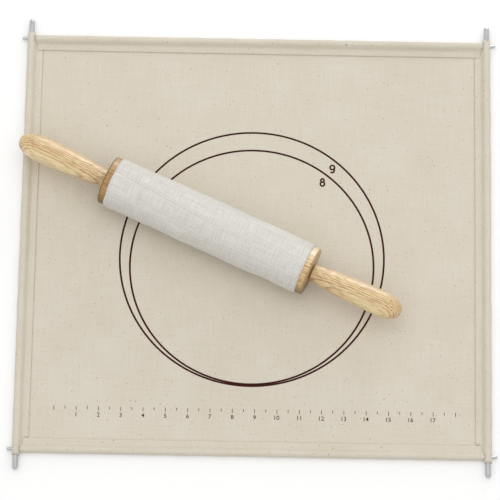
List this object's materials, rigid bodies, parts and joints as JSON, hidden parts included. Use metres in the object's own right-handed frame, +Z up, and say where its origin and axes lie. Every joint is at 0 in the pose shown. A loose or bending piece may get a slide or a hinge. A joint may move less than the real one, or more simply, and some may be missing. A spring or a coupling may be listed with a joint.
{
  "type": "fabric pastry frame with a covered rolling pin",
  "caption": "Canvas pastry cloth held taut by metal rods sewn into its edges, with pie-size circles, and a revolving rolling pin in a cotton cover.",
  "frame": {"origin": "on the table, under the middle of the frame's outline", "axes": "+X to the right along the cross rods, +Y to the back along the side rods, +Z up from the table"},
  "size_m": [0.556, 0.543, 0.0616],
  "materials": {
    "canvas": "natural cotton canvas, plain weave",
    "frame_rod": "zinc plated steel rod, satin",
    "roller_wood": "turned hardwood, oiled",
    "handle_wood": "turned hardwood, smooth",
    "cover_cotton": "unbleached cotton sleeve",
    "axle_steel": "bright drawn steel",
    "nylon": "moulded brown nylon"
  },
  "bodies": {
    "frame": {"canvas_cloth": "canvas", "left_casing": "canvas", "right_casing": "canvas", "front_hem": "canvas", "back_hem": "canvas", "left_side_rod": "frame_rod", "right_side_rod": "frame_rod", "front_cross_rod": "frame_rod", "back_cross_rod": "frame_rod"},
    "pin": {"axle": "axle_steel", "left_washer": "nylon", "right_washer": "nylon", "left_handle": "handle_wood", "right_handle": "handle_wood"},
    "roller": {"roller": "roller_wood", "left_bush": "nylon", "right_bush": "nylon"},
    "cover": {"roller_cover": "cover_cotton"}
  },
  "joints": [
    {"name": "pin_lift", "type": "slide", "parent": "frame", "child": "pin", "axis": [0, 0, 1], "range_m": [0, 0.15]},
    {"name": "roller_spin", "type": "hinge", "parent": "pin", "child": "roller", "pos_m": [-0.0537, 0.0131, 0.0314], "axis": [0.9114, -0.4115, 0], "continuous": true},
    {"name": "cover_pull", "type": "slide", "parent": "roller", "child": "cover", "axis": [0.9114, -0.4115, 0], "range_m": [-0.09, 0.2]}
  ]
}
